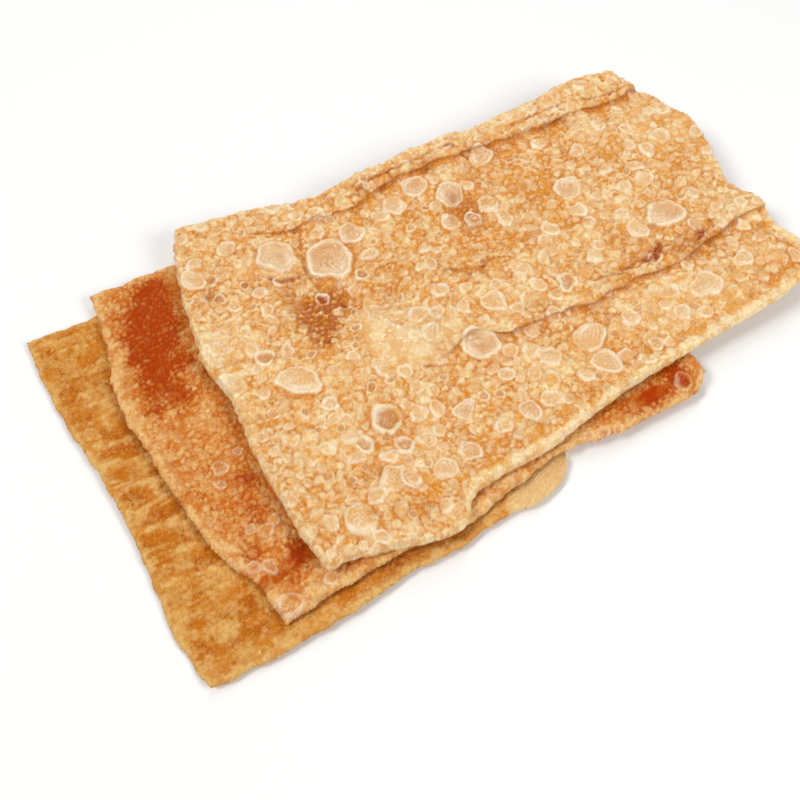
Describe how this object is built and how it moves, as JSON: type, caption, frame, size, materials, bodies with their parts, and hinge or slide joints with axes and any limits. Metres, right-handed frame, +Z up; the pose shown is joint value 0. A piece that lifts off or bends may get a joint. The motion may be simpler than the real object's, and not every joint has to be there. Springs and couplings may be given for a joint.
{
  "type": "stack of fried tofu skin",
  "caption": "Stack of crisp, blistered fried tofu skin sheets, folded and laid a little off one another, lying flat.",
  "frame": {"origin": "centre of the box around the stack, at its lowest point", "axes": "+X along the length of the sheets towards the end where the top sheet stands out, +Y from the front to the back, +Z up"},
  "size_m": [0.2521, 0.1528, 0.0159],
  "materials": {
    "tofu_skin_pale": "dry fried skin, thin, finely grained, slightly oily",
    "tofu_skin_dark": "deep fried skin, finely blistered, oily",
    "tofu_skin_golden": "fried skin, heavily blistered, glassy and oily on the blisters"
  },
  "bodies": {
    "root": {"sheet_bottom": "tofu_skin_pale", "sheet_middle": "tofu_skin_dark", "sheet_top": "tofu_skin_golden"}
  },
  "joints": []
}
